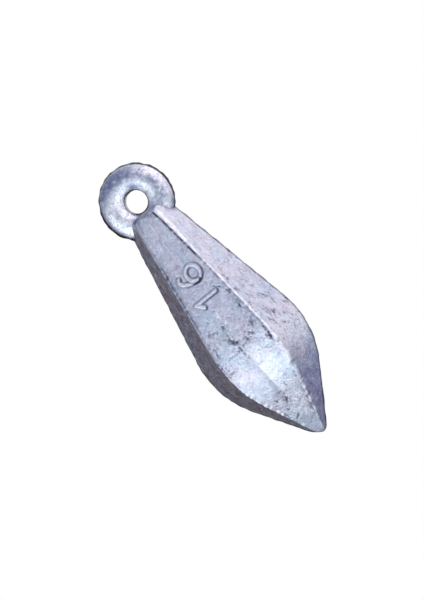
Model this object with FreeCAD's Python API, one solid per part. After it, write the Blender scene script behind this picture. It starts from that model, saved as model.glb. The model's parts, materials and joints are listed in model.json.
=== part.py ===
"""Cast lead plumb bob: a six-sided teardrop weight poured round a stout, rounded eye ring.

Frame: millimetres, +Z up, as the bob hangs. The origin is the centre of the ring's bore.
The bore runs along Y, the mould's two halves met on the plane Y = 0, and the point hangs at -Z.

The weight is bounded by six long facets. All of them follow one flank: straight down the neck,
round the shoulder on an arc, then straight to a blunt point. Each opposite pair of facets is a
prism with that flank on both sides, and the weight is what the prisms have in common.
The neck's two jaws lap over the ring's lower third on both faces, so the ring can't pull out.
"""

import FreeCAD
import Part

import math
import os

from FreeCAD import Vector

# ---- eye ring
RING_OUTSIDE = 23.2        # outside diameter
RING_BREADTH = 8.5         # breadth of its oval section, across the ring
RING_THICKNESS = 6.2       # thickness of the section, along the bore
RING_EDGE = 2.5            # radius of the section's outer and inner edges
BORE = 7.0                 # diameter of the straight land inside it

# ---- flank of the weight, measured at the corners that lie on the parting plane
NECK_DEPTH = 4.0           # the neck ends this far under the bore's centre
NECK_CORNER = 7.3          # half breadth across those corners, at the neck's end
SHOULDER_DEPTH = 60.9      # where the two straight flanks would meet
SHOULDER_CORNER = 19.25    # half breadth there, before the shoulder is rounded
SHOULDER_REACH = 11.9      # the rounding takes this much off each straight flank
APEX_DEPTH = 91.3          # where the lower flanks would meet
TIP_DEPTH = 88.8           # where the blunt point ends

# ---- cross-section, as shares of the half breadth across the corners
FACE_HALF_WIDTH = 0.54     # half width of the front and back facets
FACE_OFFSET = 0.866        # distance of those facets from the axis

# ---- neck end
LIP_HALF_THICKNESS = 3.0   # the end is square to the axis this far each side of the parting plane
LIP_SLOPE = 21.0           # degrees that it leans back from there, to the front and back facets
HIP_HALF_BREADTH = 3.6     # it is square this far each side of the middle, over the bore
HIP_SLOPE = 43.0           # degrees that it leans back from there, down round the ring

# ---- flats worn along the front and back ridges, widest at the neck
RIDGE_FLAT_DEPTH = 0.45    # cut below the ridge at the neck's end
RIDGE_FLAT_END = 58.0      # depth at which they run out

SPAN = 60.0                # longer than the weight is broad, for the prisms


def facet_prism(share):
    """The prism between two opposite facets that stand at `share` of the half breadth, facing X."""
    neck = Vector(share * NECK_CORNER, 0, -NECK_DEPTH)
    shoulder = Vector(share * SHOULDER_CORNER, 0, -SHOULDER_DEPTH)
    apex = Vector(0, 0, -APEX_DEPTH)

    upper = (neck - shoulder).normalize()
    lower = (apex - shoulder).normalize()
    half_turn = (math.pi - upper.getAngle(lower)) / 2
    radius = SHOULDER_REACH / math.tan(half_turn)
    inward = (upper + lower).normalize()
    centre = shoulder + inward * (radius / math.cos(half_turn))

    nose_angle = math.atan2(-lower.x, -lower.z)
    tip_radius = (APEX_DEPTH - TIP_DEPTH) / (1 / math.sin(nose_angle) - 1)
    tip_centre = Vector(0, 0, -TIP_DEPTH + tip_radius)
    tip_side = tip_centre + Vector(math.cos(nose_angle), 0, -math.sin(nose_angle)) * tip_radius

    start = shoulder + upper * SHOULDER_REACH
    middle = centre - inward * radius
    end = shoulder + lower * SHOULDER_REACH
    edges = [
        Part.LineSegment(mirrored(neck), neck).toShape(),
        Part.LineSegment(neck, start).toShape(),
        Part.Arc(start, middle, end).toShape(),
        Part.LineSegment(end, tip_side).toShape(),
        Part.Arc(tip_side, Vector(0, 0, -TIP_DEPTH), mirrored(tip_side)).toShape(),
        Part.LineSegment(mirrored(tip_side), mirrored(end)).toShape(),
        Part.Arc(mirrored(end), mirrored(middle), mirrored(start)).toShape(),
        Part.LineSegment(mirrored(start), mirrored(neck)).toShape(),
    ]
    return prism(Part.Wire(edges))


def mirrored(point):
    """The same point on the other side of the axis."""
    return Vector(-point.x, point.y, point.z)


def prism(outline):
    """A closed outline in the XZ plane, run across the whole weight along Y."""
    face = Part.Face(outline)
    face.translate(Vector(0, -SPAN / 2, 0))
    return face.extrude(Vector(0, SPAN, 0))


def turned(shape, degrees):
    """The shape turned about the bob's axis."""
    return shape.rotated(Vector(0, 0, 0), Vector(0, 0, 1), degrees)


def ridge_flats():
    """A straight-sided prism whose two faces plane the top off two opposite ridges, facing X."""
    ridge_share = math.hypot(FACE_HALF_WIDTH, FACE_OFFSET)
    taper = (SHOULDER_CORNER - NECK_CORNER) / (SHOULDER_DEPTH - NECK_DEPTH)
    at_neck = ridge_share * NECK_CORNER - RIDGE_FLAT_DEPTH
    run_out = ridge_share * (NECK_CORNER + taper * (RIDGE_FLAT_END - NECK_DEPTH))
    slope = (run_out - at_neck) / (RIDGE_FLAT_END - NECK_DEPTH)
    at_tip = at_neck + slope * (TIP_DEPTH - NECK_DEPTH)
    corners = [
        Vector(at_neck, 0, -NECK_DEPTH),
        Vector(at_tip, 0, -TIP_DEPTH),
        Vector(-at_tip, 0, -TIP_DEPTH),
        Vector(-at_neck, 0, -NECK_DEPTH),
    ]
    return prism(Part.makePolygon(corners + corners[:1]))


def neck_slopes(half_flat, slope):
    """A prism that is square to the axis over its middle, then leans back on both sides, facing X."""
    half_span = SPAN / 2
    drop = (half_span - half_flat) * math.tan(math.radians(slope))
    corners = [
        Vector(half_flat, 0, -NECK_DEPTH),
        Vector(half_span, 0, -NECK_DEPTH - drop),
        Vector(half_span, 0, -TIP_DEPTH - 1),
        Vector(-half_span, 0, -TIP_DEPTH - 1),
        Vector(-half_span, 0, -NECK_DEPTH - drop),
        Vector(-half_flat, 0, -NECK_DEPTH),
    ]
    return prism(Part.makePolygon(corners + corners[:1]))


def make_eye_ring():
    """A closed ring with an oval section of four tangent arcs, and a short straight land in its bore."""
    half_breadth = RING_BREADTH / 2
    half_thickness = RING_THICKNESS / 2
    middle = RING_OUTSIDE / 2 - half_breadth

    # the edges' arcs are centred this far each side of the section's middle, and the faces' arcs meet them
    edge_centre = half_breadth - RING_EDGE
    face_radius = (edge_centre ** 2 + half_thickness ** 2 - RING_EDGE ** 2) / (2 * (half_thickness - RING_EDGE))
    share = RING_EDGE / (face_radius - RING_EDGE)
    join_x = edge_centre * (1 + share)
    join_y = (face_radius - half_thickness) * share

    outer_back = Vector(middle + join_x, -join_y, 0)
    outer_front = Vector(middle + join_x, join_y, 0)
    inner_front = Vector(middle - join_x, join_y, 0)
    inner_back = Vector(middle - join_x, -join_y, 0)
    oval = Part.Wire([
        Part.Arc(outer_back, Vector(middle + half_breadth, 0, 0), outer_front).toShape(),
        Part.Arc(outer_front, Vector(middle, half_thickness, 0), inner_front).toShape(),
        Part.Arc(inner_front, Vector(middle - half_breadth, 0, 0), inner_back).toShape(),
        Part.Arc(inner_back, Vector(middle, -half_thickness, 0), outer_back).toShape(),
    ])
    ring = Part.Face(oval).revolve(Vector(0, 0, 0), Vector(0, 1, 0), 360)
    bore = Part.makeCylinder(BORE / 2, RING_THICKNESS, Vector(0, -half_thickness, 0), Vector(0, 1, 0))
    return ring.cut(bore)


def make_bob_body(eye_ring):
    """The weight: six facets, planed ridges and a hipped neck end, with the ring's seat cast into it."""
    side_run = 1 - FACE_HALF_WIDTH
    side_angle = math.degrees(math.atan2(side_run, FACE_OFFSET))
    side_share = FACE_OFFSET / math.hypot(side_run, FACE_OFFSET)
    ridge_angle = (side_angle + 90) / 2

    body = turned(facet_prism(FACE_OFFSET), 90)
    for side in (1, -1):
        body = body.common(turned(facet_prism(side_share), side * side_angle))
        body = body.common(turned(ridge_flats(), side * ridge_angle))
    body = body.common(turned(neck_slopes(LIP_HALF_THICKNESS, LIP_SLOPE), 90))
    body = body.common(neck_slopes(HIP_HALF_BREADTH, HIP_SLOPE))
    return body.cut(eye_ring)


def main():
    os.makedirs("parts", exist_ok=True)
    eye_ring = make_eye_ring()
    nodes = {"eye_ring": eye_ring, "bob_body": make_bob_body(eye_ring)}
    for name, shape in nodes.items():
        solid = shape.Solids[0]
        print(f"{name}: {len(shape.Solids)} solid, {len(solid.Faces)} faces, valid {solid.isValid()}, "
              f"{solid.Volume / 1000:.2f} cm3")
        solid.exportStep(f"parts/{name}.step")


main()
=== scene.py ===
import json
import math
from types import SimpleNamespace
import bpy
import numpy as np
from mathutils import Matrix, Vector
from mathutils.kdtree import KDTree


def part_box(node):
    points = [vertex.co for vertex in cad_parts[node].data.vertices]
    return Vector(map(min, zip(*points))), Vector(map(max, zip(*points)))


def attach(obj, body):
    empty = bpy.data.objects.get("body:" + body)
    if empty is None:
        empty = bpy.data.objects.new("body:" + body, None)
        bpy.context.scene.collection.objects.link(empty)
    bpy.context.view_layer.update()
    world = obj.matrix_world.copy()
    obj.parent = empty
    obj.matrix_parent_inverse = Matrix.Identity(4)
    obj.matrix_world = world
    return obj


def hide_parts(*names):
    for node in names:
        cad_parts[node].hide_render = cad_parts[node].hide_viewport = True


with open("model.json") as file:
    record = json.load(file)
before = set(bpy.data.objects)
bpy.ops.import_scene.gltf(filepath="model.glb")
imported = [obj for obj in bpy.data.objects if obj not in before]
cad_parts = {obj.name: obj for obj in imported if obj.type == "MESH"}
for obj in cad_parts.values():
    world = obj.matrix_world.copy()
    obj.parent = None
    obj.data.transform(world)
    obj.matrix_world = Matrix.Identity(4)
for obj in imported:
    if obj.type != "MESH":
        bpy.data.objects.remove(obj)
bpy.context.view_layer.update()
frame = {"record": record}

# the scene is in metres, and every length below is in millimetres
mm = 0.001


# sRGB hex to linear
def colour(code):
    channels = [int(code[i:i + 2], 16) / 255 for i in (1, 3, 5)]
    return [c / 12.92 if c <= 0.04045 else ((c + 0.055) / 1.055) ** 2.4 for c in channels] + [1.0]


# a noise scale whose patches are about this many millimetres across
def patches(size):
    return 1 / (size * mm)


# a shader node with its settings, its unlinked inputs, and links from other nodes' outputs
def addNode(tree, kind, values=None, links=None, **settings):
    node = tree.nodes.new("ShaderNode" + kind)
    for name, value in settings.items():
        setattr(node, name, value)
    for name, value in (values or {}).items():
        node.inputs[name].default_value = value
    for name, source in (links or {}).items():
        tree.links.new(source, node.inputs[name])
    return node


def newMaterial(name):
    material = bpy.data.materials.new(name)
    material.use_nodes = True
    material.node_tree.nodes.clear()
    return material, material.node_tree


# 0 below low, 1 above high, and an easy slope between them
def smooth(low, high, value):
    t = np.clip((value - low) / (high - low), 0, 1)
    return t * t * (3 - 2 * t)


# 1 between the two middle values, fading to 0 at the first and the last
def between(value, first, full, fading, last):
    return smooth(first, full, value) * (1 - smooth(fading, last, value))


# a round hump, 1 at no distance and about a third at one width
def bump(distance, width):
    return np.exp(-(distance / width) ** 2)


# a hump given as how strong, where and how wide
def hump(value, strength, at, width):
    return strength * bump(value - at, width)


# a soft spot, which is a hump in each of two directions
def spot(u, v, strength, atU, widthU, atV, widthV):
    return strength * bump(u - atU, widthU) * bump(v - atV, widthV)


# ten seeded waves of about this size added up: gentle unevenness, about -1 to 1, the same every run
def ripple(u, v, seed, size):
    draws = np.random.default_rng(seed)
    total = np.zeros(np.broadcast(u, v).shape)
    for _ in range(10):
        angle, phase = draws.uniform(0, 2 * math.pi, 2)
        wave = size * draws.uniform(0.6, 1.7)
        total += np.sin((u * math.cos(angle) + v * math.sin(angle)) * 2 * math.pi / wave + phase)
    return total / 3.2


# a patchy cover that wavers about the middle by the swing, and stays between least and most
def patchy(u, v, seed, size, middle, swing, least=0.0, most=1.0):
    return np.clip(middle + swing * ripple(u, v, seed, size), least, most)


# The camera is level, a little round to the right of the front facet, and rolled, so that the bob lies
# askew in the view. Depth is down from the bore's centre, and aside is to the right of the axis.
cameraAim = {"turn": 10.0, "roll": 39.0, "distance": 450.0, "lens": 90.0, "depth": 37.05, "aside": -1.06,
             "clipFrom": 10.0}


def makeCamera():
    turn, roll = math.radians(cameraAim["turn"]), math.radians(cameraAim["roll"])
    towards = Vector((math.sin(turn), -math.cos(turn), 0))
    across = Vector((math.cos(turn), math.sin(turn), 0))
    up = Vector((0, 0, 1))
    right = across * math.cos(roll) - up * math.sin(roll)
    top = across * math.sin(roll) + up * math.cos(roll)
    aim = (across * cameraAim["aside"] - up * cameraAim["depth"]) * mm
    place = aim + towards * cameraAim["distance"] * mm
    data = bpy.data.cameras.new("camera")
    data.lens = cameraAim["lens"]
    data.clip_start = cameraAim["clipFrom"] * mm
    camera = bpy.data.objects.new("camera", data)
    rows = [[right[i], top[i], towards[i], place[i]] for i in range(3)]
    camera.matrix_world = Matrix(rows + [[0, 0, 0, 1]])
    bpy.context.collection.objects.link(camera)
    bpy.context.scene.camera = camera


makeCamera()
print("camera placed")


# faces of a grid whose columns close into a loop, and whose rows stay open at both ends
def tubeFaces(rows, columns):
    faces = []
    for row in range(rows - 1):
        for column in range(columns):
            nextColumn = (column + 1) % columns
            here, below = row * columns, (row + 1) * columns
            faces.append((here + column, below + column, below + nextColumn, here + nextColumn))
    return faces


# a smooth-shaded object from points in millimetres, with one number per point for each mark
def meshObject(name, points, faces, material, marks=None):
    mesh = bpy.data.meshes.new(name)
    mesh.from_pydata((points * mm).tolist(), [], faces)
    mesh.validate()
    mesh.polygons.foreach_set("use_smooth", [True] * len(mesh.polygons))
    for field, values in (marks or {}).items():
        layer = mesh.attributes.new(field, "FLOAT", "POINT")
        layer.data.foreach_set("value", values.ravel().astype(np.float32))
    mesh.materials.append(material)
    mesh.update()
    piece = bpy.data.objects.new(name, mesh)
    bpy.context.collection.objects.link(piece)
    return piece


# Cast lead, gravity poured in a two-part mould and left bare: a dull blue-grey oxide film with
# paler burnished places and painted highlights, fine sand grain, and dark dirt in the dents, whose colour
# also paints shade.
leadFinish = {
    "film": "#adbcd3", "filmPale": "#cfd9e6", "filmMauve": "#bfbcd0", "dirt": "#444560",
    "rubbed": "#e8ecf3",
    # patches of the film, of the mottling and of the sand grain, which is drawn coarser than real sand
    "filmPatch": 7.0, "mottle": 2.0, "grain": 0.75,
    # noise values between which the film turns mauve and the mottling pale, and the most it turns pale
    "filmEdges": (0.38, 0.62), "mottleEdges": (0.35, 0.65), "paleMost": 0.75,
    # the grain's darkest and lightest tone, and how deep the skin's relief is
    "tone": (0.84, 1.12), "toneEdges": (0.3, 0.7),
    "relief": 0.12, "reliefStrength": 0.9, "mottleRelief": 1.3,
    # oxidised lead is dull, varies with the mottling, and is duller where the dirt and painted shade lie
    "roughness": 0.45, "smoother": 0.06, "rougher": 0.08, "roughEdges": (0.3, 0.7), "dirtRougher": 0.25,
}


def makeCastLead():
    finish = leadFinish
    material, tree = newMaterial("castLead")
    place = addNode(tree, "TexCoord").outputs["Object"]
    dirt = addNode(tree, "Attribute", attribute_name="dirt").outputs["Fac"]
    rubbed = addNode(tree, "Attribute", attribute_name="rubbed").outputs["Fac"]
    film = addNode(tree, "TexNoise", {"Scale": patches(finish["filmPatch"]), "Detail": 3.0,
                                      "Roughness": 0.6}, {"Vector": place}).outputs["Fac"]
    mottle = addNode(tree, "TexNoise", {"Scale": patches(finish["mottle"]), "Detail": 4.0,
                                        "Roughness": 0.65, "Distortion": 0.6},
                     {"Vector": place}).outputs["Fac"]
    grain = addNode(tree, "TexNoise", {"Scale": patches(finish["grain"]), "Detail": 3.0,
                                       "Roughness": 0.6}, {"Vector": place}).outputs["Fac"]
    # colour: film, mauve and pale patches, rubbed places and painted highlights, dirt and painted shade,
    # and the grain's tone over all
    low, high = finish["filmEdges"]
    mauve = addNode(tree, "MapRange", {"From Min": low, "From Max": high}, {"Value": film})
    low, high = finish["mottleEdges"]
    pale = addNode(tree, "MapRange", {"From Min": low, "From Max": high, "To Max": finish["paleMost"]},
                   {"Value": mottle})
    coat = addNode(tree, "Mix", {"A": colour(finish["film"]), "B": colour(finish["filmMauve"])},
                   {"Factor": mauve.outputs["Result"]}, data_type="RGBA")
    for layer, share in (("filmPale", pale.outputs["Result"]), ("rubbed", rubbed), ("dirt", dirt)):
        coat = addNode(tree, "Mix", {"B": colour(finish[layer])},
                       {"Factor": share, "A": coat.outputs["Result"]}, data_type="RGBA")
    low, high = finish["toneEdges"]
    darkest, lightest = finish["tone"]
    tone = addNode(tree, "MapRange", {"From Min": low, "From Max": high,
                                      "To Min": darkest, "To Max": lightest}, {"Value": grain})
    grained = addNode(tree, "VectorMath", operation="SCALE",
                      links={0: coat.outputs["Result"], "Scale": tone.outputs["Result"]})
    # gloss and relief
    low, high = finish["roughEdges"]
    rough = addNode(tree, "MapRange", {"From Min": low, "From Max": high,
                                       "To Min": finish["roughness"] - finish["smoother"],
                                       "To Max": finish["roughness"] + finish["rougher"]},
                    {"Value": mottle})
    roughDirtAndShade = addNode(tree, "Math", {1: finish["dirtRougher"]}, {0: dirt, 2: rough.outputs["Result"]},
                        operation="MULTIPLY_ADD")
    relief = addNode(tree, "Math", {1: finish["mottleRelief"]}, {0: mottle, 2: grain},
                     operation="MULTIPLY_ADD")
    skin = addNode(tree, "Bump", {"Strength": finish["reliefStrength"],
                                  "Distance": finish["relief"] * mm},
                   {"Height": relief.outputs["Value"]})
    shader = addNode(tree, "BsdfPrincipled", {"Metallic": 1.0},
                     {"Base Color": grained.outputs["Vector"], "Roughness": roughDirtAndShade.outputs["Value"],
                      "Normal": skin.outputs["Normal"]})
    addNode(tree, "OutputMaterial", links={"Surface": shader.outputs["BSDF"]})
    return material


# Steel ring, hot-dip galvanised: bright zinc that has run smooth, with duller spangle patches and a
# blue-grey patina where hands and cord don't polish it. The patina colour also paints a dark reflected
# band and shade on the inner slope and rim.
ringFinish = {
    "zinc": "#dae0ec", "spangle": "#a6aec4", "patinaAndShade": "#7884a0", "dirt": "#35323f",
    # patch of the spangle, the noise values between which it shows, and how much at most
    "spanglePatch": 0.85, "spangleEdges": (0.47, 0.59), "spangleMost": 0.85,
    # worn zinc is half glossy, rougher on the spangle, and its surface is slightly uneven
    "roughness": 0.29, "smoother": 0.05, "rougher": 0.12, "roughEdges": (0.35, 0.65),
    "relief": 0.13, "reliefStrength": 0.8,
}


def makeGalvanisedSteel():
    finish = ringFinish
    material, tree = newMaterial("galvanisedSteel")
    place = addNode(tree, "TexCoord").outputs["Object"]
    dirt = addNode(tree, "Attribute", attribute_name="dirt").outputs["Fac"]
    patinaAndShade = addNode(tree, "Attribute", attribute_name="patinaAndShade").outputs["Fac"]
    spangle = addNode(tree, "TexNoise", {"Scale": patches(finish["spanglePatch"]), "Detail": 4.0,
                                         "Roughness": 0.62, "Distortion": 0.9},
                      {"Vector": place}).outputs["Fac"]
    low, high = finish["spangleEdges"]
    dull = addNode(tree, "MapRange", {"From Min": low, "From Max": high, "To Max": finish["spangleMost"]},
                   {"Value": spangle})
    coat = addNode(tree, "Mix", {"A": colour(finish["zinc"]), "B": colour(finish["spangle"])},
                   {"Factor": dull.outputs["Result"]}, data_type="RGBA")
    # the patina layer also paints shade, and the dirt layer here is painted shade
    for layer, share in (("patinaAndShade", patinaAndShade), ("dirt", dirt)):
        coat = addNode(tree, "Mix", {"B": colour(finish[layer])},
                       {"Factor": share, "A": coat.outputs["Result"]}, data_type="RGBA")
    low, high = finish["roughEdges"]
    rough = addNode(tree, "MapRange", {"From Min": low, "From Max": high,
                                       "To Min": finish["roughness"] - finish["smoother"],
                                       "To Max": finish["roughness"] + finish["rougher"]},
                    {"Value": spangle})
    skin = addNode(tree, "Bump", {"Strength": finish["reliefStrength"],
                                  "Distance": finish["relief"] * mm}, {"Height": spangle})
    shader = addNode(tree, "BsdfPrincipled", {"Metallic": 1.0},
                     {"Base Color": coat.outputs["Result"], "Roughness": rough.outputs["Result"],
                      "Normal": skin.outputs["Normal"]})
    addNode(tree, "OutputMaterial", links={"Surface": shader.outputs["BSDF"]})
    return material


castLead = makeCastLead()
galvanisedSteel = makeGalvanisedSteel()
print("materials made")


# The eye ring. Reach is the distance out from the bore's centre, and clock is in degrees from the
# ring's top towards +X. Humps are given as how strong, where and how wide, and spots have that place
# and width in two directions.
ringHigh = np.array(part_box("eye_ring")[1]) / mm
ringShape = {
    "outside": ringHigh[0], "halfThick": ringHigh[1], "halfBreadth": 4.25, "edge": 2.5,
    "bore": frame["record"]["mounts"][0]["dims"]["r_mm"],
    # points round the ring, round its section, and across the straight land in the bore
    "around": 220, "section": 96, "land": 5,
    # the ring is drawn this much thinner, so that its lumps stay inside, and its seat this much wider
    "allowance": 0.05, "seatGap": 0.05,
    # lumps: how high, the share and size of the long and short waves, and how far they keep off the land
    "lumps": 0.035, "longWave": (0.6, 6.0), "shortWave": (0.4, 2.6), "landMargin": 0.15,
    # flash round the outside where the mould's halves met, thicker on the lumps
    "flash": (0.26, 0, 0.2), "flashShare": 0.8, "flashSwing": 0.4, "flashMost": 1.2,
    # dull patina with painted reflected shade in a band at this reach, which winds out on the left and
    # dips in at one clock place
    "band": 8.6, "windOut": 0.3, "windOver": 25, "dipAt": 45, "dipOver": 30, "dipIn": 0.6,
    # the band's breadth inwards and outwards, and what it loses over these clock places and at the dip
    "inward": 3.2, "inwardLess": 1.5, "inwardOver": (5, 60),
    "outward": 2.0, "outwardLess": 0.5, "outwardOver": (0, 40), "dipLess": 0.3,
    # it comes in over the left, mostly fades low on the right, and is thin at the dip
    "bandFrom": (-100, -15), "fade": 0.8, "fadeOver": (125, 160), "thin": (0.4, 45, 24),
    # blotches break it up: middle, then the share and size of the large and small ones
    "blotch": 0.8, "largeBlotch": (0.3, 1.9), "smallBlotch": (0.25, 0.9),
    # a stain left of the hole, in x and z, and painted shade on the inner slope's upper right, in reach
    # and clock
    "stain": (0.7, -6.6, 0.8, 0.4, 1.5), "innerSlopeShade": (0.8, 4.9, 1.1, 34, 34),
    # painted shade on the outside: on the left, and along the whole rim but for one bright place
    "leftRimShade": (0.7, -95, 40), "leftFrom": (9.2, 10.4),
    "rimShade": 0.35, "rimFrom": (10.2, 10.9), "rimBright": (1, 55, 34),
    "rimPatch": (14, 2.4, 0.85, 0.3, 0.3),
    # painted shade round the outline, where the halves meet: half its width, its soft edge, and how much
    # wider it is at the top and right
    "dirtHalf": 0.7, "dirtEdge": (-0.25, 0.3), "dirtMore": 0.45, "dirtTop": (-70, -20, 95, 130),
    # painted shade at the hole's lip, more of it at the bottom, and on the inner slope's upper right
    "lipShade": (0.6, 0.05, 0.16), "lowLipShade": (0.8, 0.25, 0.45), "lowFrom": (115, 150),
    "innerSpotShade": (0.25, 4.9, 0.9, 42, 28),
}


# the oval section, from one side of the bore's land round the outside to the other, then the land itself
def ringSection(grow):
    halfBreadth, halfThick, edge = ringShape["halfBreadth"], ringShape["halfThick"], ringShape["edge"]
    middle = ringShape["outside"] - halfBreadth
    edgeCentre = halfBreadth - edge
    faceRadius = (edgeCentre ** 2 + halfThick ** 2 - edge ** 2) / (2 * (halfThick - edge))
    lean = math.atan2(faceRadius - halfThick, edgeCentre)
    landAt = ringShape["bore"] - grow
    landHalf = math.sqrt((edge + grow) ** 2 - (middle - edgeCentre - landAt) ** 2)
    stop = math.atan2(landHalf, landAt - middle + edgeCentre)
    points = []
    for angle in np.linspace(stop, -stop, ringShape["section"] - ringShape["land"]):
        side = math.copysign(1, angle)
        if abs(angle) <= lean:
            across, along, radius = edgeCentre, 0.0, edge
        elif abs(angle) >= math.pi - lean:
            across, along, radius = -edgeCentre, 0.0, edge
        else:
            across, along, radius = 0.0, -side * (faceRadius - halfThick), faceRadius
        points.append((middle + across + (radius + grow) * math.cos(angle),
                       along + (radius + grow) * math.sin(angle)))
    land = [(landAt, y) for y in np.linspace(-landHalf, landHalf, ringShape["land"] + 2)[1:-1]]
    return np.array(points + land)


# the section turned round the bore: rows go round the ring, and columns round its section
def ringGrid(grow):
    reach, side = ringSection(grow).T
    turn = np.linspace(0, 2 * math.pi, ringShape["around"], endpoint=False)[:, None]
    return np.stack([reach * np.sin(turn), side + 0 * turn, reach * np.cos(turn)], axis=2)


def ringFaces(rows, columns):
    faces = []
    for row in range(rows):
        here, following = row * columns, (row + 1) % rows * columns
        for column in range(columns):
            nextColumn = (column + 1) % columns
            faces.append((here + column, here + nextColumn, following + nextColumn, following + column))
    return faces


def ringNormals(grid):
    along = np.roll(grid, -1, axis=0) - np.roll(grid, 1, axis=0)
    around = np.roll(grid, -1, axis=1) - np.roll(grid, 1, axis=1)
    normal = np.cross(around, along)
    return normal / np.linalg.norm(normal, axis=2, keepdims=True)


# how much patina and painted shade each point of the ring has
def ringPatinaAndShade(x, z, reach, clock):
    s = ringShape
    dip = bump(clock - s["dipAt"], s["dipOver"])
    bandAt = s["band"] + s["windOut"] * np.exp(-clock / s["windOver"]) - s["dipIn"] * dip
    inward = s["inward"] - s["inwardLess"] * smooth(*s["inwardOver"], clock)
    outward = s["outward"] - s["outwardLess"] * smooth(*s["outwardOver"], clock) - s["dipLess"] * dip
    patinaAndShade = bump(reach - bandAt, np.where(reach < bandAt, inward, outward))
    patinaAndShade *= smooth(*s["bandFrom"], clock) * (1 - s["fade"] * smooth(*s["fadeOver"], clock))
    patinaAndShade *= 1 - hump(clock, *s["thin"])
    patinaAndShade += spot(x, z, *s["stain"])
    (large, largeSize), (small, smallSize) = s["largeBlotch"], s["smallBlotch"]
    blotches = s["blotch"] + large * ripple(x, z, 12, largeSize) + small * ripple(x, z, 13, smallSize)
    patinaAndShade *= np.clip(blotches, 0, 1)
    # painted shade on the inner slope over the glare, on the left outside, and along the rim
    patinaAndShade += spot(reach, clock, *s["innerSlopeShade"])
    patinaAndShade += hump(clock, *s["leftRimShade"]) * smooth(*s["leftFrom"], reach)
    rim = (1 - hump(clock, *s["rimBright"])) * smooth(*s["rimFrom"], reach)
    patinaAndShade += s["rimShade"] * rim * patchy(x, z, *s["rimPatch"])
    return np.clip(patinaAndShade, 0, 1)


# how much painted shade each point of the ring has
def ringPaintedShade(y, reach, clock, outer):
    s = ringShape
    half = s["dirtHalf"] + s["dirtMore"] * between(clock, *s["dirtTop"])
    first, last = s["dirtEdge"]
    dirt = (1 - smooth(half + first, half + last, np.abs(y))) * outer
    dirt += hump(reach - s["bore"], *s["lipShade"])
    dirt += hump(reach - s["bore"], *s["lowLipShade"]) * smooth(*s["lowFrom"], np.abs(clock))
    dirt += spot(reach, clock, *s["innerSpotShade"])
    return np.clip(dirt, 0, 1)


def makeEyeRing():
    s = ringShape
    grid = ringGrid(-s["allowance"])
    x, y, z = grid[..., 0], grid[..., 1], grid[..., 2]
    reach, clock = np.hypot(x, z), np.degrees(np.arctan2(x, z))
    outer = reach > s["outside"] - s["halfBreadth"]
    (long, longSize), (short, shortSize) = s["longWave"], s["shortWave"]
    lumps = long * ripple(x + z, y + 2 * z, 5, longSize) + short * ripple(x - y, z, 8, shortSize)
    flash = outer * hump(y, *s["flash"])
    flash = flash * np.clip(s["flashShare"] + s["flashSwing"] * lumps, 0, s["flashMost"])
    height = np.where(reach < s["bore"] + s["landMargin"], 0, s["lumps"] * lumps) + flash
    grid = grid + ringNormals(grid) * height[..., None]
    marks = {"dirt": ringPaintedShade(y, reach, clock, outer), "patinaAndShade": ringPatinaAndShade(x, z, reach, clock)}
    return meshObject("eyeRing", grid.reshape(-1, 3), ringFaces(*grid.shape[:2]), galvanisedSteel, marks)


eyeRing = makeEyeRing()
print("eye ring made")


# The lead body. Depth is down from the bore's centre.
bodyLow, bodyHigh = (np.array(corner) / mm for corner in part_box("bob_body"))
bobShape = {
    "neckDepth": -bodyHigh[2], "tipDepth": -bodyLow[2],
    # half breadth over the parting corners at the neck, and where the straight flanks would meet
    "neckCorner": 7.3, "shoulderDepth": 60.9, "shoulderCorner": 19.25, "apexDepth": 91.3,
    # the shoulder's arc takes this much off each flank; points on the arcs of shoulder and tip, and how
    # far in radians the tip's arc stops short of the axis
    "shoulderReach": 11.9, "shoulderPoints": 80, "tipPoints": 30, "tipStop": 0.06,
    # half width of the front facet and its distance from the axis, as shares of the half breadth
    "faceHalf": 0.54, "faceOffset": 0.866,
    # the neck's end is square this far from its middle, and then leans back by this many degrees
    "lipHalf": 3.0, "lipSlope": 21.0, "hipHalf": 3.6, "hipSlope": 43.0,
    # how softly it starts to lean, how softly its slopes meet, and what that adds in the middle
    "hipRound": 0.3, "hipBlend": 0.2, "hipSwell": 0.14,
    # rows between the neck's end and this depth lean to meet it, found by so many trials
    "warpTo": 14.0, "warpRounds": 5,
    # rows down the flank are this far apart, and closer where the figures stand
    "rowStep": 0.35, "figureStep": 0.19, "figuresFrom": 23.0, "figuresTo": 40.5,
    # columns round each ridge and across each facet
    "ridgeColumns": 6, "frontColumns": 84, "sideColumns": 52, "backColumns": 28,
    # rows across the neck's end, crowded to its rim, and how many rows are rounded how often there
    "endRows": 22, "endCrowding": 0.8, "rimRows": 5, "rimRounds": 4,
    # the edges' radius: parting corners, then ridges, with what the neck and its end add to them, and
    # what the shoulder adds to the right front ridge
    "partingRound": 0.3, "ridgeRound": 0.45, "neckRound": 0.65, "neckRoundTo": (9, 28),
    "endRound": 0.6, "endRoundTo": (5, 11), "shoulderRound": 0.9, "shoulderRoundAt": (52, 60, 70, 78),
    # no edge's radius is more than this share of the half breadth
    "roundMost": 0.35,
    # the point is worn to a slanted flat: which way it faces, how much is off, how soft, how flat
    "wornTowards": (-0.55, -0.25, -0.8), "wornOff": 0.55, "wornSoft": 0.12, "wornFlat": 0.85,
}


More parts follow.
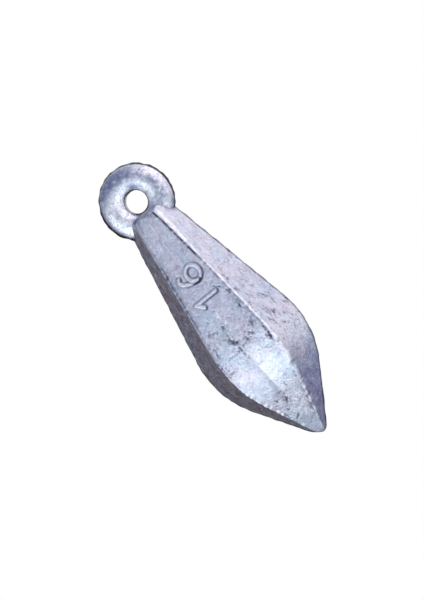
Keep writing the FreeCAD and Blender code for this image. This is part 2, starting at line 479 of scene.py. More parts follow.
# depth and corner half width of every row down the flank: neck line, shoulder arc, nose line, tip arc
def flank():
    s = bobShape
    neck = np.array([s["neckCorner"], s["neckDepth"]])
    shoulder = np.array([s["shoulderCorner"], s["shoulderDepth"]])
    apex = np.array([0.0, s["apexDepth"]])
    toNeck = (neck - shoulder) / np.linalg.norm(neck - shoulder)
    toApex = (apex - shoulder) / np.linalg.norm(apex - shoulder)
    half = math.acos(float(toNeck @ toApex)) / 2
    middle = (toNeck + toApex) / np.linalg.norm(toNeck + toApex)
    centre = shoulder + middle * s["shoulderReach"] / math.cos(half)
    radius = s["shoulderReach"] * math.tan(half)
    ends = (shoulder + toNeck * s["shoulderReach"], shoulder + toApex * s["shoulderReach"])
    angles = [math.atan2(*(end - centre)[::-1]) for end in ends]
    arc = [centre + radius * np.array([math.cos(angle), math.sin(angle)])
           for angle in np.linspace(*angles, s["shoulderPoints"])]
    slope = math.atan2(s["shoulderCorner"], s["apexDepth"] - s["shoulderDepth"])
    tipRadius = (s["apexDepth"] - s["tipDepth"]) * math.sin(slope) / (1 - math.sin(slope))
    tipCentre = s["tipDepth"] - tipRadius
    tip = [np.array([tipRadius * math.cos(angle), tipCentre + tipRadius * math.sin(angle)])
           for angle in np.linspace(slope, math.pi / 2 - s["tipStop"], s["tipPoints"])]
    path = np.array([neck] + arc + tip)
    along = np.concatenate([[0], np.cumsum(np.linalg.norm(np.diff(path, axis=0), axis=1))])
    rows, at = [], 0.0
    while at < along[-1]:
        depth = np.interp(at, along, path[:, 1])
        rows.append(at)
        at += s["figureStep"] if s["figuresFrom"] < depth < s["figuresTo"] else s["rowStep"]
    return np.interp(rows, along, path[:, 1]), np.interp(rows, along, path[:, 0])


# The six corners, anticlockwise from above, each as a share of the corner half width. Each facet, and
# the ridge at its first corner, has the number of that corner.
faceHalf, faceOffset = bobShape["faceHalf"], bobShape["faceOffset"]
corners = [(1, 0), (faceHalf, faceOffset), (-faceHalf, faceOffset),
           (-1, 0), (-faceHalf, -faceOffset), (faceHalf, -faceOffset)]
rightBack, back, leftBack, leftFront, front, rightFront = range(6)
partingCorners = (0, 3)
facetColumns = {front: bobShape["frontColumns"], leftFront: bobShape["sideColumns"],
                rightFront: bobShape["sideColumns"]}


# the outward direction of a facet, and the direction along it
def facetNormal(facet):
    first, last = np.array(corners[facet]), np.array(corners[(facet + 1) % 6])
    along = (last - first) / np.linalg.norm(last - first)
    return np.array([along[1], -along[0]]), along


# how wide each edge is rounded: broad on the neck's ridges, tight below, fine at the parting corners
def edgeRound(corner, depth):
    s = bobShape
    if corner in partingCorners:
        return np.full(depth.shape, s["partingRound"])
    radius = s["ridgeRound"] + s["neckRound"] * (1 - smooth(*s["neckRoundTo"], depth))
    radius = radius + s["endRound"] * (1 - smooth(*s["endRoundTo"], depth))
    if corner == rightFront:
        radius = radius + s["shoulderRound"] * between(depth, *s["shoulderRoundAt"])
    return radius


# x and y of every column at each row, as a hexagon with rounded corners, and the facet or ridge of each
def hexagon(depth, halfWidth):
    columns, facetOf, ridgeOf = [], [], []
    most = bobShape["roundMost"] * halfWidth
    for corner in range(6):
        nextCorner = (corner + 1) % 6
        before = facetNormal((corner - 1) % 6)[0]
        after, along = facetNormal(corner)
        first = math.atan2(before[1], before[0])
        turn = math.acos(float(before @ after)) / 2
        nextTurn = math.acos(float(after @ facetNormal(nextCorner)[0])) / 2
        rounding = np.minimum(edgeRound(corner, depth), most)[:, None]
        nextRounding = np.minimum(edgeRound(nextCorner, depth), most)[:, None]
        point = np.array(corners[corner]) * halfWidth[:, None]
        middle = np.array([math.cos(first + turn), math.sin(first + turn)])
        for angle in first + np.linspace(0, 2 * turn, bobShape["ridgeColumns"]):
            spoke = np.array([math.cos(angle), math.sin(angle)])
            columns.append(point + rounding * (spoke - middle / math.cos(turn)))
            facetOf.append(-1)
            ridgeOf.append(corner)
        start = point + rounding * math.tan(turn) * along
        nextPoint = np.array(corners[nextCorner]) * halfWidth[:, None]
        end = nextPoint - nextRounding * math.tan(nextTurn) * along
        count = facetColumns.get(corner, bobShape["backColumns"])
        for share in np.linspace(0, 1, count + 1)[1:-1]:
            columns.append(start + (end - start) * share)
            facetOf.append(corner)
            ridgeOf.append(-1)
    return np.stack(columns, axis=1), np.array(facetOf), np.array(ridgeOf)


# depth of the hipped neck end: square over the bore, leaning back to the facets and down round the ring
def neckEnd(x, y):
    s = bobShape
    drops = []
    for place, half, slope in ((y, s["lipHalf"], s["lipSlope"]), (x, s["hipHalf"], s["hipSlope"])):
        past = np.hypot(np.maximum(np.abs(place) - half, 0), s["hipRound"]) - s["hipRound"]
        drops.append(past * math.tan(math.radians(slope)))
    blend = s["hipBlend"]
    joined = blend * np.log(np.exp(drops[0] / blend) + np.exp(drops[1] / blend))
    return s["neckDepth"] + joined - s["hipSwell"]


# the top rows lean to meet the sloped neck end, and rows across the end close it
def closeNeck(grid, depths):
    s = bobShape
    rows = np.flatnonzero(depths < s["warpTo"])
    for column in range(grid.shape[1]):
        line = grid[:rows[-1] + 2, column].copy()
        depth, top = -line[:, 2], s["neckDepth"]
        for _ in range(s["warpRounds"]):
            top = float(neckEnd(np.interp(top, depth, line[:, 0]), np.interp(top, depth, line[:, 1])))
        share = (depth[rows] - s["neckDepth"]) / (s["warpTo"] - s["neckDepth"])
        leaned = top + share * (s["warpTo"] - top)
        for axis in (0, 1):
            grid[rows, column, axis] = np.interp(leaned, depth, line[:, axis])
        grid[rows, column, 2] = -leaned
    inward = np.linspace(0, 1, s["endRows"] + 1)[1:, None, None] ** s["endCrowding"]
    end = grid[:1] * inward
    end[..., 2] = -neckEnd(end[..., 0], end[..., 1])
    closed = np.concatenate([end[:-1], grid])
    rim = s["endRows"] - 1
    band = np.arange(rim - s["rimRows"], rim + s["rimRows"] + 1)
    for _ in range(s["rimRounds"]):
        closed[band] = closed[band] / 2 + (closed[band - 1] + closed[band + 1]) / 4
    return closed


# The marks of casting and use, with painted shade and painted highlights among them. A place on a facet
# is aside from its middle, and a depth. Humps are given as how strong, where and how wide. Zones are
# where a mark starts and is full, and where it fades and has ended. Patches are a seed, unless each
# facet or ridge has its own, then a size, a middle and a swing, and at times the least and the most.
bobMarks = {
    # seed of the pits and nicks; long and short waves in each facet: how high, their seed, how long
    "seed": 41, "waves": [(0.035, 60, 8.0), (0.014, 70, 2.4)],
    # facet, aside, depth, half length, half width, lean in degrees, how deep
    "dents": [
        (front, -1.6, 50.2, 2.0, 0.75, 35, 0.34), (front, -0.9, 53.2, 1.5, 0.35, 5, 0.26),
        (front, -1.3, 45.2, 0.9, 0.45, 30, 0.26), (front, -1.7, 47.8, 0.7, 0.3, 0, 0.2),
        (front, 2.2, 52.4, 1.4, 0.42, -65, 0.24), (front, 4.4, 51.2, 1.3, 0.4, 60, 0.22),
        (front, 6.3, 49.0, 1.3, 0.9, -20, 0.26), (front, 6.6, 43.2, 1.4, 0.5, 5, 0.22),
        (front, 6.5, 37.8, 0.8, 0.42, 10, 0.3), (front, 5.0, 35.0, 1.7, 0.28, 52, 0.2),
        (front, -6.0, 44.4, 0.7, 0.55, 20, 0.2), (front, -7.3, 48.6, 0.9, 0.5, 60, 0.18),
        (front, -7.6, 50.6, 0.9, 0.35, -30, 0.2), (front, -7.6, 57.3, 1.0, 0.35, 80, 0.2),
        (front, 8.3, 55.2, 1.9, 0.45, -8, 0.28), (front, -0.7, 73.6, 1.2, 0.5, -25, 0.3),
        (front, -3.4, 72.3, 0.5, 0.45, 0, 0.26), (front, 2.2, 69.8, 0.9, 0.25, 5, 0.2),
        (front, -0.6, 70.6, 0.3, 0.9, 0, 0.16), (front, -4.2, 78.2, 1.0, 0.28, -12, 0.24),
        (front, -1.7, 79.8, 0.7, 0.4, -30, 0.28), (front, -4.4, 73.4, 0.35, 0.35, 0, 0.2),
        (front, -2.4, 76.4, 0.7, 0.3, 15, 0.16),
        (rightFront, -5.2, 34.4, 0.8, 0.5, 20, 0.14), (rightFront, -1.6, 51.2, 1.2, 0.4, -50, 0.22),
        (rightFront, -4.6, 52.9, 0.8, 0.35, 20, 0.22), (rightFront, 2.0, 53.2, 0.9, 0.45, 65, 0.2),
        (rightFront, 0.6, 41.0, 0.5, 0.4, 0, 0.2), (rightFront, -4.4, 48.6, 1.6, 0.22, 3, 0.14),
        (rightFront, -2.4, 48.9, 1.5, 0.2, 20, 0.12), (rightFront, -6.3, 38.7, 0.9, 0.5, 40, 0.2),
        (rightFront, -4.3, 42.1, 0.7, 0.4, -20, 0.16), (rightFront, 1.7, 46.0, 0.8, 0.35, 30, 0.22),
        (rightFront, 2.6, 48.1, 0.7, 0.3, -40, 0.2), (rightFront, -1.0, 55.4, 1.1, 0.4, 60, 0.17),
        (rightFront, -3.3, 57.6, 1.0, 0.3, -30, 0.13), (rightFront, 4.5, 55.4, 0.8, 0.3, 60, 0.15),
        (rightFront, -5.6, 51.6, 0.8, 0.35, 10, 0.18),
    ],
    # a dent's ragged outline in two sizes of wave and its limits, its raised rim, how much darker it is by
    # depth, and how far its marks reach
    "dentForm": {
        "ragged": (0.42, 1.3), "frayed": (0.25, 0.7), "limits": (0.35, 2.2), "rim": (0.3, 1.25, 0.25),
        "dirt": 2.7, "dirtMost": 0.75, "dirtWidth": 0.9, "reach": 2.5, "margin": 1,
    },
    # small pits strewn on each facet: sizes and how much small ones prevail, depths (first, most usual,
    # last), aside as a share of the facet, half length and half width by size, and how deep
    "pits": {
        "count": 14, "sizes": (0.3, 0.7), "crowding": 1.3, "depths": (30, 58, 84), "aside": 0.92,
        "long": (0.8, 2.4), "wide": 0.8, "deep": 0.08, "deepShare": (0.4, 1.2),
    },
    # short crooked creases where the metal chilled, with a raised lip; they come in patches, thickest
    # over the shoulder and on the nose
    "folds": {
        "size": 2.4, "width": 0.16, "deep": 0.13, "lip": (0.5, 0.384, 0.16), "dirt": 0.5,
        "patchSize": 4.2, "patchEdges": (0.1, 0.5),
        "zones": [(1.0, 38, 47, 56, 60), (0.8, 69, 73, 79, 83)],
        "elsewhere": 0.7, "elsewhereFront": 0.25, "elsewhereZone": (20, 30, 60, 72),
    },
    # faint streaks that run down the neck
    "streaks": {"size": 1.5, "stretch": 0.12, "end": (20, 30), "dirt": 0.05, "shineAndHighlight": 0.16},
    # crossing wrinkles: how far apart, how deep and thin, how crooked, and the large ones' patches
    "wrinkles": {
        "size": 2.1, "deep": 0.075, "thin": 0.32, "bend": 0.3, "bendSize": 1.8, "patch": (6.0, 0.5, 0.6),
        # how much darker the large and small wrinkles are
        "largeDark": 0.16, "smallDark": 0.15,
        # on the front facet there are more low down and at the neck, and elsewhere more on the neck
        "front": 0.5, "frontLow": 0.5, "lowZone": (38, 46), "frontNeck": 0.6, "neckEnd": (20, 25),
        "others": 0.9, "othersNeck": 0.6, "othersZone": (12, 18, 38, 46),
        # share of the small ones, which off the front facet are fewer from the shoulder down
        "small": 0.45, "smallLess": 0.3, "lessFrom": (44, 52),
    },
    # down the middle of the front and back: a hair groove on the neck, a thread of metal, a faint spine
    "middleLine": {
        "wander": 0.04, "wanderSize": 14.0, "groove": (0.09, 0, 0.2), "grooveZone": (6.5, 9, 20.5, 22.5),
        # the groove is darker along its line
        "grooveEven": (3, 3.0, 0.85, 0.2, 0, 2), "grooveDark": (0.16, 0.12, 0.16),
        "grooveLip": (0.04, -0.45, 0.3),
        "thread": (0.2, -0.4, 0.26), "threadZone": (39.6, 41, 44, 45.5),
        "threadStep": 0.9, "stepZone": (41.5, 43.5),
        "spine": 0.16, "spineHalf": 1.7, "spineZone": (50, 54, 68, 72),
    },
    # painted shade inside the ridges of the front and back; pairs of values are for the right and the left
    "ridgeShade": {
        "start": (5, 7), "rightEnd": (55, 60), "leftEnd": (40, 50), "dirt": (0.72, 0.38), "deep": 0.11,
        "cutAt": 0.25, "dirtAt": 0.2, "dirtWider": 0.08, "width": (26, 2.2, 0.3, 0.25, 0.15, 0.675),
        "broken": (23, 9.0, 0.7, 0.45), "brokenLeast": (0.6, 0.25), "frayed": (24, 1.9, 0.85, 0.3, 0.3),
        # painted shade beside the right ridge of the neck, and mottled painted shade at the facet's very
        # top
        "neckShade": (0.6, 0.3, 0.42), "neckCut": (0.08, 0.3, 0.35), "neckZone": (4.6, 6, 22, 27),
        "neckBroken": (27, 1.6, 0.85, 0.5, 0.2),
        "topShade": 0.4, "topEnd": (4.6, 8), "topMottle": (28, 1.7, 0.7, 0.7, 0.1, 1.2),
        # a band of painted shade inside the left ridge, beside the figures
        "band": (0.24, 0, 2.2), "bandZone": (17, 25, 36, 46),
    },
    # painted shade over the shoulder and on the nose beside the front ridge, and a painted highlight on
    # the shoulder
    "rightFacet": {
        "rightShoulderShade": (0.06, 45, 10), "noseShade": (0.2, 66, 4, 0, 3.5), "shineAndHighlight": (0.2, 57, 4.5),
        "farHighlight": (0.3, 60.5, 3), "farFrom": (2, 5),
    },
    # a painted highlight in a fringe inside the neck's left ridge; the shoulder has a painted highlight
    # just right of the middle line and painted shade left of it; the nose's right edge is knocked off and
    # darker
    "frontFacet": {
        "fringe": (0.7, 0.45, 0.25), "fringeZone": (8, 10, 20, 26), "fringePatch": (95, 1.2, 0.5, 0.7),
        "sheen": 0.45, "sheenZone": (53, 60, 62, 78), "sheenAside": (-0.15, 0.25, 1.0, 6.5),
        "sheenPatch": (91, 3.0, 0.75, 0.6),
        "leftShade": 0.06, "leftShadeMore": (0.15, 0, 2.4), "leftShadeZone": (53, 58, 70, 77),
        "leftShadeAside": (-0.15, 0.2), "leftShadePatch": (92, 3.4, 0.9, 0.5, 0.2, 1.4),
        "edgeDark": (0.4, 0, 1.0), "edgeCut": (0.2, 0, 0.8), "edgeZone": (65, 69, 80, 85),
        "edgePatch": (93, 1.8, 0.7, 0.6, 0, 1.3),
    },
    # the weight in ounces, cast proud, which reads from the point towards the ring
    "figures": {
        "height": 0.6, "oneDepth": 35.6, "sixDepth": 27.4, "tall": 7.3, "broad": 4.9,
        # a stroke is flat this far from its middle line, and has sloped to nothing this far from it
        "flat": 0.3, "width": 0.92,
        # the six's bowl as a share of its height, its tail's sweep in degrees, and the one's flag
        "bowl": 0.3, "tail": 112, "flag": (1.7, 1.9), "tailPoints": 12, "bowlPoints": 25,
        # painted shade round the foot and on the lower right side, painted highlight on the upper left
        # side and on top
        "footShade": (0.42, 0.87, 0.22), "side": (1, 0.62, 0.3), "slopeShade": 0.62, "topHighlight": 0.35,
        "topEdge": (0.25, 0.5),
    },
    # the parting corners have a thin flash, with a line of painted shade that widens below the shoulder
    "parting": {
        "flash": (0.15, 0, 0.2), "flashZone": (9, 12, 84, 88), "dirt": 0.95, "dirtFrom": (7, 10),
        "dirtWidth": 0.45, "dirtWider": 0.25, "widerFrom": (58, 66),
    },
    # the other ridges wander in long and short waves, more below the shoulder, and are nicked
    "ridges": {
        "wobble": 0.07, "longSize": 2.8, "shortSize": 1.4, "shortShare": 0.7,
        "more": 0.9, "moreFrom": (58, 66), "width": 0.9, "zone": (8, 12, 82, 86),
        "broken": (3.5, 0.7, 0.45, 0, 1.3),
        "nicks": 10, "nickDepths": (12, 82), "nickSizes": (0.35, 0.9), "nickWide": 0.8, "nickDeep": 0.24,
        # the nicks are darker by how deep they are
        "nickShare": (0.3, 1), "nickDark": 1.6,
    },
    # the right front ridge has a painted highlight, in a width that grows up the neck and again at its end
    "rightRidge": {
        "rubbed": 0.85, "width": 0.32, "neckWider": 0.75, "neckEnd": (8, 28),
        "endWider": 0.9, "endEnd": (5, 10), "start": (5, 8), "less": 0.5, "lessFrom": (58, 74),
    },
    # the left front ridge has painted shade down to the nose, and there a painted highlight in a bright,
    # broken fringe
    "leftRidge": {
        "dirt": (0.4, 0, 0.7), "dirtEnd": (54, 66), "fringe": (0.35, 0, 0.5),
        "fringeZone": (55, 60, 76, 82), "fringePatch": (61, 1.4, 0.2, 1.0),
    },
    # darker towards the nose and the very point; painted shade in the seam round the ring and on the
    # neck's end; the right facet has less of it, and a painted highlight on the rim there, by rows below
    # the rim
    "ends": {
        "dirt": [(0.2, 77, 83), (0.45, 87.6, 88.8)], "seamShade": (0.7, 0.1, 0.6),
        "seamShadeRight": (0.4, 0.1, 0.6), "endShade": 0.3, "rim": (0.75, 1.0, 2.5),
    },
}


# one facet's places, with a layer each for height over the plain facet, for dirt and painted shade, and
# for rubbed shine and painted highlights
def startFacet(grid, facetOf, number):
    cells = np.ix_(np.arange(bobShape["endRows"], len(grid)), np.flatnonzero(facetOf == number))
    along = facetNormal(number)[1]
    aside = grid[cells][..., 0] * along[0] + grid[cells][..., 1] * along[1]
    rise, grimeAndShade, shineAndHighlight = (np.zeros(aside.shape) for _ in range(3))
    half = np.abs(aside).max(axis=1, keepdims=True)
    return SimpleNamespace(number=number, cells=cells, aside=aside, depth=-grid[cells][..., 2],
                           half=half, rise=rise, grimeAndShade=grimeAndShade, shineAndHighlight=shineAndHighlight)


# one dent: its ragged hollow, its raised rim, and darker colour in it by its depth
def pressDent(facet, place, seed):
    s, aside, depth = bobMarks["dentForm"], facet.aside, facet.depth
    middle, level, halfLong, halfWide, lean, deep = place
    lean = math.radians(lean)
    u = (depth - level) * math.cos(lean) + (aside - middle) * math.sin(lean)
    v = (aside - middle) * math.cos(lean) - (depth - level) * math.sin(lean)
    near = ((np.abs(u) < s["reach"] * halfLong + s["margin"])
            & (np.abs(v) < s["reach"] * halfWide + s["margin"]))
    if not near.any():
        return
    (ragged, raggedSize), (frayed, frayedSize) = s["ragged"], s["frayed"]
    outline = 1 + ragged * ripple(aside, depth, seed, raggedSize)
    outline = outline + frayed * ripple(aside, depth, seed + 50, frayedSize)
    reach = np.hypot(u / halfLong, v / halfWide) * np.clip(outline, *s["limits"])
    facet.rise -= near * deep * (np.clip(1 - reach ** 2, 0, 1) - hump(reach, *s["rim"]))
    facet.grimeAndShade += near * min(s["dirtMost"], s["dirt"] * deep) * bump(reach, s["dirtWidth"])


# the placed dents of a facet, and then pits strewn over it
def pressDents(facet, draws):
    for number, (own, *place) in enumerate(bobMarks["dents"]):
        if own == facet.number:
            pressDent(facet, place, 100 + number)
    s = bobMarks["pits"]
    for number in range(s["count"]):
        size = draws.uniform(*s["sizes"]) ** s["crowding"]
        level = draws.triangular(*s["depths"])
        half = float(np.interp(level, facet.depth[:, 0], facet.half[:, 0]))
        aside = draws.uniform(-s["aside"], s["aside"]) * half
        halfLong = size * draws.uniform(*s["long"])
        lean = draws.uniform(-90, 90)
        deep = s["deep"] * draws.uniform(*s["deepShare"])
        pressDent(facet, (aside, level, halfLong, size * s["wide"], lean, deep), 300 + number)


def foldSkin(facet):
    s, aside, depth = bobMarks["folds"], facet.aside, facet.depth
    crease = ripple(aside, depth, 200 + facet.number, s["size"])
    patch = smooth(*s["patchEdges"], ripple(aside, depth, 220 + facet.number, s["patchSize"]))
    zones = sum(share * between(depth, *zone) for share, *zone in s["zones"])
    share = s["elsewhereFront"] if facet.number == front else s["elsewhere"]
    fold = np.clip(zones + share * between(depth, *s["elsewhereZone"]), 0, 1) * patch
    facet.rise -= s["deep"] * fold * (bump(crease, s["width"]) - hump(crease, *s["lip"]))
    # darker along each crease
    facet.grimeAndShade += s["dirt"] * fold * bump(crease, s["width"])


def streakNeck(facet):
    s = bobMarks["streaks"]
    streak = ripple(facet.aside, s["stretch"] * facet.depth, 230 + facet.number, s["size"])
    streak = streak * (1 - smooth(*s["end"], facet.depth))
    facet.grimeAndShade += s["dirt"] * np.clip(streak, 0, 1)
    facet.shineAndHighlight += s["shineAndHighlight"] * np.clip(-streak, 0, 1)


# crossing wrinkles, 1 along each one
def wrinkles(facet, seed, size):
    s, aside, depth = bobMarks["wrinkles"], facet.aside, facet.depth
    u = aside + s["bend"] * size * ripple(aside, depth, seed + 1, s["bendSize"] * size)
    v = depth + s["bend"] * size * ripple(aside, depth, seed + 2, s["bendSize"] * size)
    return bump(ripple(u, v, seed, size), s["thin"])


def wrinkleSkin(facet):
    s, depth = bobMarks["wrinkles"], facet.depth
    if facet.number == front:
        strength = s["front"] + s["frontLow"] * smooth(*s["lowZone"], depth)
        strength = strength + s["frontNeck"] * (1 - smooth(*s["neckEnd"], depth))
        share = s["small"]
    else:
        strength = s["others"] + s["othersNeck"] * between(depth, *s["othersZone"])
        share = s["small"] - s["smallLess"] * smooth(*s["lessFrom"], depth)
    large = wrinkles(facet, 260 + facet.number, s["size"])
    large = large * patchy(facet.aside, depth, 240 + facet.number, *s["patch"])
    small = wrinkles(facet, 280 + facet.number, s["size"] / 2) * share
    facet.rise -= s["deep"] * strength * (large + small)
    facet.grimeAndShade += strength * (s["largeDark"] * large + s["smallDark"] * small)


def drawMiddleLine(facet):
    s, aside, depth = bobMarks["middleLine"], facet.aside, facet.depth
    fromLine = aside - s["wander"] * ripple(depth, 0, 17, s["wanderSize"])
    groove = between(depth, *s["grooveZone"]) * patchy(depth, 0, *s["grooveEven"])
    facet.rise += groove * (hump(fromLine, *s["grooveLip"]) - hump(fromLine, *s["groove"]))
    facet.grimeAndShade += groove * hump(fromLine, *s["grooveDark"])
    spine = np.clip(1 - np.abs(fromLine) / s["spineHalf"], 0, 1)
    facet.rise += s["spine"] * between(depth, *s["spineZone"]) * spine
    fromThread = aside - s["threadStep"] * smooth(*s["stepZone"], depth)
    facet.rise += between(depth, *s["threadZone"]) * hump(fromThread, *s["thread"])


# left and right are as seen with the ring up
def dirtyRidges(facet):
    s, aside, depth = bobMarks["ridgeShade"], facet.aside, facet.depth
    inside = facet.half - np.abs(aside)
    onRight = aside > 0 if facet.number == front else aside < 0
    line = np.where(onRight, 1 - smooth(*s["rightEnd"], depth), 1 - smooth(*s["leftEnd"], depth))
    line = line * smooth(*s["start"], depth)
    line = line * patchy(depth, facet.number, *s["broken"], least=np.where(onRight, *s["brokenLeast"]))
    line = line * patchy(depth, facet.number + 5.0 * onRight, *s["frayed"])
    width = patchy(depth, 2.0 * onRight, *s["width"])
    # a shallow cut inside each ridge, with a line of painted shade
    dirt = np.where(onRight, *s["dirt"])
    facet.rise -= line * hump(inside, s["deep"], s["cutAt"], width)
    facet.grimeAndShade += line * hump(inside, dirt, s["dirtAt"], width + s["dirtWider"])
    neckLine = onRight * between(depth, *s["neckZone"]) * patchy(depth, facet.number, *s["neckBroken"])
    facet.grimeAndShade += neckLine * hump(inside, *s["neckShade"])
    facet.rise -= neckLine * hump(inside, *s["neckCut"])
    top = 1 - smooth(*s["topEnd"], depth)
    facet.grimeAndShade += s["topShade"] * top * patchy(aside, depth, *s["topMottle"])
    facet.grimeAndShade += ~onRight * between(depth, *s["bandZone"]) * hump(inside, *s["band"])


def paintRightFacetLight(facet):
    s, aside, depth = bobMarks["rightFacet"], facet.aside, facet.depth
    # painted shade and painted highlights on the right front facet
    facet.grimeAndShade += hump(depth, *s["rightShoulderShade"]) + spot(depth, aside + facet.half, *s["noseShade"])
    facet.shineAndHighlight += hump(depth, *s["shineAndHighlight"]) + hump(depth, *s["farHighlight"]) * smooth(*s["farFrom"], aside)


def wearAndLightFrontFacet(facet):
    s, aside, depth = bobMarks["frontFacet"], facet.aside, facet.depth
    inside = facet.half - np.abs(aside)
    # a painted highlight by the left edge, and painted highlight and shade either side of the middle line
    fringe = between(depth, *s["fringeZone"]) * (aside < 0) * patchy(depth, aside, *s["fringePatch"])
    facet.shineAndHighlight += fringe * hump(inside, *s["fringe"])
    sheen = between(depth, *s["sheenZone"]) * between(aside, *s["sheenAside"])
    facet.shineAndHighlight += s["sheen"] * sheen * patchy(aside, depth, *s["sheenPatch"])
    leftShade = between(depth, *s["leftShadeZone"]) * (1 - smooth(*s["leftShadeAside"], aside))
    leftShade = leftShade * patchy(aside, depth, *s["leftShadePatch"])
    facet.grimeAndShade += leftShade * (s["leftShade"] + hump(aside, *s["leftShadeMore"]))
    edge = (aside > 0) * between(depth, *s["edgeZone"]) * patchy(aside, depth, *s["edgePatch"])
    facet.grimeAndShade += edge * hump(inside, *s["edgeDark"])
    facet.rise -= edge * hump(inside, *s["edgeCut"])


# the middle lines of the figures' strokes, as points aside and in depth
def figureStrokes():
    s = bobMarks["figures"]
    half, one, six = s["tall"] / 2, s["oneDepth"], s["sixDepth"]
    side, bowlHalf = s["broad"] / 2, s["bowl"] * s["tall"]
    bowl = half - bowlHalf
    flagLong, flagDrop = s["flag"]
    tail = np.linspace(0, math.radians(s["tail"]), s["tailPoints"])
    ring = np.linspace(0, 2 * math.pi, s["bowlPoints"])
    return [
        [(half, one), (-half, one), (-half + flagLong, one + flagDrop)],
        [(bowl - (bowl + half) * math.sin(angle), six + side * math.cos(angle)) for angle in tail],
        [(bowl + bowlHalf * math.sin(angle), six + side * math.cos(angle)) for angle in ring],
    ]


# distance of every point from a stroke's middle line
def distanceToStroke(aside, depth, stroke):
    nearest = np.full(aside.shape, np.inf)
    for (a0, d0), (a1, d1) in zip(stroke[:-1], stroke[1:]):
        length = (a1 - a0) ** 2 + (d1 - d0) ** 2
        share = np.clip(((aside - a0) * (a1 - a0) + (depth - d0) * (d1 - d0)) / length, 0, 1)
        distance = np.hypot(aside - a0 - share * (a1 - a0), depth - d0 - share * (d1 - d0))
        nearest = np.minimum(nearest, distance)
    return nearest


# raised strokes with sloped sides, with painted shade on the lower right and a painted highlight on the
# upper left
def raiseFigures(facet):
    s, aside, depth = bobMarks["figures"], facet.aside, facet.depth
    for stroke in figureStrokes():
        away = distanceToStroke(aside, depth, stroke)
        lift = s["height"] * (1 - smooth(s["flat"], s["width"], away))
        facet.rise = np.where(away < s["width"], np.maximum(facet.rise, lift), facet.rise)
        slope = np.gradient(away, axis=0) / np.gradient(depth, axis=0)
        slope = slope + np.gradient(away, axis=1) / np.gradient(aside, axis=1)
        slope = slope * hump(away, *s["side"])
        facet.grimeAndShade += hump(away, *s["footShade"]) + s["slopeShade"] * np.clip(slope, 0, 1)
        facet.shineAndHighlight += np.clip(-slope, 0, 1) + s["topHighlight"] * (1 - smooth(*s["topEdge"], away))


def markPartingCorner(bob, away, nibbled):
    s, depth = bobMarks["parting"], bob.depth
    bob.height += hump(away, *s["flash"]) * nibbled * between(depth, *s["flashZone"])
    # a line of painted shade along the corner
    width = s["dirtWidth"] + s["dirtWider"] * smooth(*s["widerFrom"], depth)
    bob.dirt += s["dirt"] * bump(away, width) * smooth(*s["dirtFrom"], depth)


def roughenRidge(bob, corner, away, draws):
    s, depth = bobMarks["ridges"], bob.depth
    wobble = ripple(depth, 0, 50 + corner, s["longSize"])
    wobble = wobble + s["shortShare"] * ripple(depth, 0, 56 + corner, s["shortSize"])
    ragged = s["wobble"] * (1 + s["more"] * smooth(*s["moreFrom"], depth))
    bob.height += ragged * wobble * bump(away, s["width"]) * between(depth, *s["zone"])
    for _ in range(s["nicks"]):
        level, size = draws.uniform(*s["nickDepths"]), draws.uniform(*s["nickSizes"])
        deep = s["nickDeep"] * draws.uniform(*s["nickShare"])
        knock = deep * np.clip(1 - ((depth - level) / size) ** 2 - (away / s["nickWide"]) ** 2, 0, 1)
        bob.height -= knock
        bob.dirt += s["nickDark"] * knock


def highlightRightRidge(bob, away, nibbled):
    s, depth = bobMarks["rightRidge"], bob.depth
    width = s["width"] + s["neckWider"] * (1 - smooth(*s["neckEnd"], depth))
    width = width + s["endWider"] * (1 - smooth(*s["endEnd"], depth))
    fade = smooth(*s["start"], depth) * (1 - s["less"] * smooth(*s["lessFrom"], depth))
    # a painted highlight along the ridge
    bob.rubbed += s["rubbed"] * bump(away, width) * nibbled * fade


def paintLeftRidgeLight(bob, away):
    s, depth = bobMarks["leftRidge"], bob.depth
    # painted shade along the ridge, and a painted highlight in the fringe
    bob.dirt += hump(away, *s["dirt"]) * (1 - smooth(*s["dirtEnd"], depth))
    fringe = between(depth, *s["fringeZone"]) * patchy(depth, 2 * away, *s["fringePatch"])
    bob.rubbed += hump(away, *s["fringe"]) * fringe


def markRidges(bob, draws):
    for corner in range(6):
        columns = np.flatnonzero(bob.ridgeOf == corner)
        middle = bob.grid[:, columns[len(columns) // 2]]
        away = np.linalg.norm(bob.grid - middle[:, None], axis=2)
        nibbled = patchy(bob.depth, 3 * corner, 31 + corner, *bobMarks["ridges"]["broken"])
        if corner in partingCorners:
            markPartingCorner(bob, away, nibbled)
        else:
            roughenRidge(bob, corner, away, draws)
        if corner == front:
            paintLeftRidgeLight(bob, away)
        if corner == rightFront:
            highlightRightRidge(bob, away, nibbled)


def dirtyEnds(bob):
    s, onRight = bobMarks["ends"], bob.facetOf == rightFront
    # darker towards the nose and point, painted shade at the seam and the neck's end, and a painted
    # highlight on the right facet's rim
    for share, first, full in s["dirt"]:
        bob.dirt += share * smooth(first, full, bob.depth)
    # roughly how far each point is from the ring's surface
    halfBreadth, halfThick = ringShape["halfBreadth"], ringShape["halfThick"]
    fromSection = np.hypot(bob.grid[..., 0], bob.depth) - ringShape["outside"] + halfBreadth
    fromRing = halfThick * (np.hypot(fromSection / halfBreadth, bob.grid[..., 1] / halfThick) - 1)
    bob.dirt += np.where(onRight, hump(fromRing, *s["seamShadeRight"]), hump(fromRing, *s["seamShade"]))
    bob.dirt[:bobShape["endRows"]] += s["endShade"] * ~onRight
    fromRim = np.abs(np.arange(len(bob.grid)) - bobShape["endRows"] + 1)[:, None]
    bob.rubbed += hump(fromRim, *s["rim"]) * onRight


